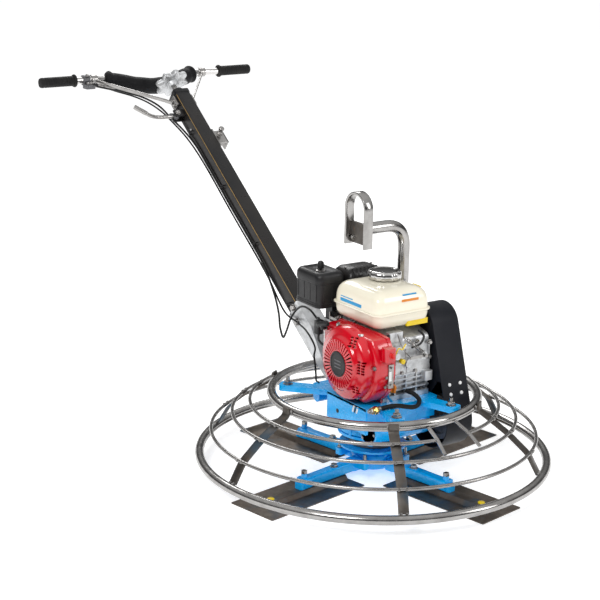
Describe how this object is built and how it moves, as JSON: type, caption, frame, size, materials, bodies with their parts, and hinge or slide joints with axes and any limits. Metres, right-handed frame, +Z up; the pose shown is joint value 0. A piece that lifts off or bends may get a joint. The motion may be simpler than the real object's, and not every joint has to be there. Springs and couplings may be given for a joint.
{
  "type": "walk-behind power trowel",
  "caption": "Walk-behind power trowel: engine-driven rotor of pitched steel blades under a round ring guard, with a long tube handle, crossbar and lifting bail.",
  "frame": {"origin": "middle of the machine's bounding box, on the floor that the blades rest on", "axes": "+Z up, +Y forward (away from the operator, along the handle), +X to the operator's right"},
  "size_m": [0.965, 1.7557, 0.9627],
  "materials": {
    "bright_steel": "bright plated steel, lightly worn",
    "dark_steel": "bare hot-rolled steel, dark, lightly rusted",
    "blue_paint": "gloss sky-blue enamel",
    "red_paint": "gloss red enamel",
    "cream_paint": "gloss cream enamel",
    "black_paint": "satin black enamel",
    "cast_aluminium": "as-cast, slightly rough",
    "cast_iron": "machined and oiled",
    "bronze": "machined bronze",
    "black_plastic": "moulded, fine grain",
    "rubber": "matt black rubber",
    "pad_cover": "black foam-backed cover",
    "orange_plastic": "glossy",
    "red_plastic": "glossy"
  },
  "bodies": {
    "chassis": {"lower_ring": "bright_steel", "upper_ring": "bright_steel", "guard_rod_lower": "bright_steel", "guard_rod_middle": "bright_steel", "guard_rod_upper": "bright_steel", "guard_upright_1": "dark_steel", "guard_upright_2": "dark_steel", "guard_upright_3": "dark_steel", "guard_upright_4": "dark_steel", "guard_upright_5": "dark_steel", "guard_upright_6": "dark_steel", "engine_deck": "blue_paint", "gearbox_housing": "blue_paint", "gearbox_cover": "blue_paint", "lifting_bail": "bright_steel", "handle_socket": "cast_iron", "handle_tube": "black_paint", "handlebar": "bright_steel", "grip_left": "rubber", "grip_right": "rubber", "bar_pad": "pad_cover", "side_bracket": "cast_aluminium", "belt_guard": "black_paint", "drive_belt": "rubber", "crankcase": "cast_aluminium", "cylinder": "cast_aluminium", "fan_shroud": "red_paint", "recoil_cover": "red_paint", "fuel_tank": "cream_paint", "air_cleaner_base": "black_plastic", "air_cleaner_cover": "black_plastic", "carburettor": "cast_aluminium", "muffler": "black_paint", "drain_hose": "rubber", "throttle_cable": "rubber"},
    "rotor": {"worm_wheel": "bronze", "spider_hub": "blue_paint"},
    "arm_1": {"trowel_arm_1": "blue_paint", "blade_1": "dark_steel"},
    "arm_2": {"trowel_arm_2": "blue_paint", "blade_2": "dark_steel"},
    "arm_3": {"trowel_arm_3": "blue_paint", "blade_3": "dark_steel"},
    "arm_4": {"trowel_arm_4": "blue_paint", "blade_4": "dark_steel"},
    "wear_plate": {"wear_plate": "blue_paint"},
    "thrust_collar": {"thrust_collar": "cast_iron"},
    "pitch_yoke": {"pitch_yoke": "cast_iron"},
    "worm_shaft": {"worm_shaft": "cast_iron"},
    "clutch_pulley": {"clutch_pulley": "cast_iron"},
    "crankshaft": {"crankshaft": "cast_iron"},
    "star_wheel": {"star_wheel": "cast_aluminium"},
    "hand_lever": {"hand_lever": "bright_steel"},
    "throttle_lever": {"throttle_lever": "bright_steel"},
    "recoil_grip": {"recoil_grip": "black_plastic"},
    "fuel_cap": {"fuel_cap": "bright_steel"},
    "wing_nut": {"wing_nut": "black_plastic"},
    "choke_lever": {"choke_lever": "black_plastic"},
    "dipstick": {"dipstick": "orange_plastic"},
    "engine_switch": {"engine_switch": "red_plastic"}
  },
  "joints": [
    {"name": "rotor_spin", "type": "hinge", "parent": "chassis", "child": "rotor", "pos_m": [0, 0.39425, 0.1], "axis": [0, 0, 1], "continuous": true},
    {"name": "blade_pitch_1", "type": "hinge", "parent": "rotor", "child": "arm_1", "pos_m": [0, 0.39425, 0.03], "axis": [-0.982, -0.1891, 0], "range_deg": [0, 12.2]},
    {"name": "blade_pitch_2", "type": "hinge", "parent": "rotor", "child": "arm_2", "pos_m": [0, 0.39425, 0.03], "axis": [0.1891, -0.982, 0], "range_deg": [0, 12.2]},
    {"name": "blade_pitch_3", "type": "hinge", "parent": "rotor", "child": "arm_3", "pos_m": [0, 0.39425, 0.03], "axis": [0.982, 0.1891, 0], "range_deg": [0, 12.2]},
    {"name": "blade_pitch_4", "type": "hinge", "parent": "rotor", "child": "arm_4", "pos_m": [0, 0.39425, 0.03], "axis": [-0.1891, 0.982, 0], "range_deg": [0, 12.2]},
    {"name": "wear_plate_slide", "type": "slide", "parent": "rotor", "child": "wear_plate", "axis": [0, 0, -1], "range_m": [0, 0.0096]},
    {"name": "thrust_collar_slide", "type": "slide", "parent": "chassis", "child": "thrust_collar", "axis": [0, 0, -1], "range_m": [0, 0.0096]},
    {"name": "pitch_yoke_tilt", "type": "hinge", "parent": "chassis", "child": "pitch_yoke", "pos_m": [0, 0.28925, 0.102], "axis": [-1, 0, 0], "range_deg": [0, 5.3]},
    {"name": "star_wheel_turn", "type": "hinge", "parent": "chassis", "child": "star_wheel", "pos_m": [0, -0.62322, 0.85234], "axis": [0, -0.8039, 0.5948], "range_deg": [0, 720]},
    {"name": "worm_spin", "type": "hinge", "parent": "chassis", "child": "worm_shaft", "pos_m": [0, 0.49425, 0.152], "axis": [1, 0, 0], "continuous": true},
    {"name": "clutch_drum_spin", "type": "hinge", "parent": "chassis", "child": "clutch_pulley", "pos_m": [-0.15, 0.44025, 0.336], "axis": [1, 0, 0], "continuous": true},
    {"name": "crank_spin", "type": "hinge", "parent": "chassis", "child": "crankshaft", "pos_m": [0, 0.44025, 0.336], "axis": [1, 0, 0], "continuous": true},
    {"name": "hand_lever_squeeze", "type": "hinge", "parent": "chassis", "child": "hand_lever", "pos_m": [0.0474, -0.59348, 0.83033], "axis": [0, -0.5948, -0.8039], "range_deg": [0, 20], "stiffness_Nm_per_rad": 2, "springref_deg": -5.73},
    {"name": "throttle_lever_swing", "type": "hinge", "parent": "chassis", "child": "throttle_lever", "pos_m": [0.223, -0.83475, 0.912], "axis": [0, 0, 1], "range_deg": [-35, 35]},
    {"name": "recoil_pull", "type": "slide", "parent": "chassis", "child": "recoil_grip", "axis": [0.5, -0.25, 0.8292], "range_m": [0, 0.5], "stiffness_N_per_m": 30, "springref_m": -0.05},
    {"name": "fuel_cap_turn", "type": "hinge", "parent": "chassis", "child": "fuel_cap", "pos_m": [-0.042, 0.36925, 0.54], "axis": [0, 0, 1], "range_deg": [0, 90]},
    {"name": "wing_nut_turn", "type": "hinge", "parent": "chassis", "child": "wing_nut", "pos_m": [0.067, 0.22625, 0.54], "axis": [0, 0, 1], "continuous": true},
    {"name": "choke_lever_swing", "type": "hinge", "parent": "chassis", "child": "choke_lever", "pos_m": [0.068, 0.26025, 0.378], "axis": [1, 0, 0], "range_deg": [0, 35]},
    {"name": "dipstick_turn", "type": "hinge", "parent": "chassis", "child": "dipstick", "pos_m": [0.03, 0.51425, 0.268], "axis": [0, 1, 0], "continuous": true},
    {"name": "engine_switch_turn", "type": "hinge", "parent": "chassis", "child": "engine_switch", "pos_m": [0.085, 0.57525, 0.384], "axis": [0, 1, 0], "range_deg": [0, 60]}
  ],
  "couplings": [
    {"joint": "blade_pitch_1", "follows": "star_wheel_turn", "ratio": 0.016667},
    {"joint": "blade_pitch_2", "follows": "star_wheel_turn", "ratio": 0.016667},
    {"joint": "blade_pitch_3", "follows": "star_wheel_turn", "ratio": 0.016667},
    {"joint": "blade_pitch_4", "follows": "star_wheel_turn", "ratio": 0.016667},
    {"joint": "wear_plate_slide", "follows": "star_wheel_turn", "m_per_rad": 0.00075},
    {"joint": "thrust_collar_slide", "follows": "star_wheel_turn", "m_per_rad": 0.00075},
    {"joint": "pitch_yoke_tilt", "follows": "star_wheel_turn", "ratio": 0.007146},
    {"joint": "worm_spin", "follows": "rotor_spin", "ratio": 20},
    {"joint": "clutch_drum_spin", "follows": "rotor_spin", "ratio": 27.6}
  ]
}
